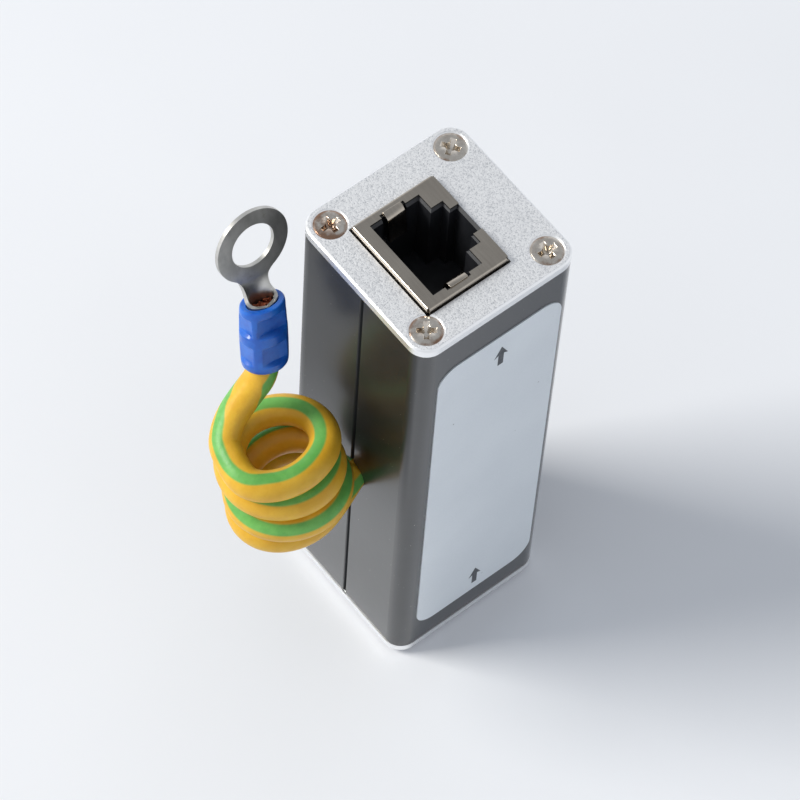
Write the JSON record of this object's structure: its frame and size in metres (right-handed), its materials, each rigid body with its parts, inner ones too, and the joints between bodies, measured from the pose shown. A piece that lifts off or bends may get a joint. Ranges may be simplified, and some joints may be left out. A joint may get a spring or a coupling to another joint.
{
  "type": "ethernet surge protector",
  "caption": "Inline network surge protector: square metal housing with a shielded socket at each end and a coiled ground lead with a ring terminal.",
  "frame": {"origin": "on the plane that the lower socket's face rests on, under the housing's centre line", "axes": "+Z along the housing, -Y out of the labelled face, the ground lead leaves on -X"},
  "size_m": [0.0446, 0.0297, 0.0831],
  "materials": {
    "housing": "gloss black lacquer on aluminium",
    "plate": "bead-blasted, satin",
    "screw": "nickel plated",
    "label": "satin silver film",
    "shield": "nickel plated sheet",
    "insulator": "moulded",
    "contact": "gold plated",
    "board": "green solder mask",
    "gas_tube": "glazed ceramic with metal caps",
    "diode": "moulded",
    "jacket": "yellow with green stripes",
    "strand": "bare copper",
    "solder": "bright",
    "sleeve": "blue, crimped",
    "terminal": "tin plated"
  },
  "bodies": {
    "root": {"housing_front": "housing", "housing_rear": "housing", "top_end_plate": "plate", "bottom_end_plate": "plate", "top_plate_screws": "screw", "bottom_plate_screws": "screw", "front_label": "label", "top_jack_shield": "shield", "bottom_jack_shield": "shield", "top_jack_insulator": "insulator", "bottom_jack_insulator": "insulator", "top_jack_contacts": "contact", "bottom_jack_contacts": "contact", "circuit_board": "board", "gas_tube_1": "gas_tube", "gas_tube_2": "gas_tube", "gas_tube_3": "gas_tube", "gas_tube_4": "gas_tube", "diode_array_1": "diode", "diode_array_2": "diode", "inner_ground_lead": "jacket", "ground_lead_exit": "jacket", "ground_lead_coil": "jacket", "ground_lead_tail": "jacket", "ground_conductor": "strand", "lead_strands": "strand", "ground_solder": "solder", "terminal_sleeve": "sleeve", "ring_terminal": "terminal"}
  },
  "joints": []
}
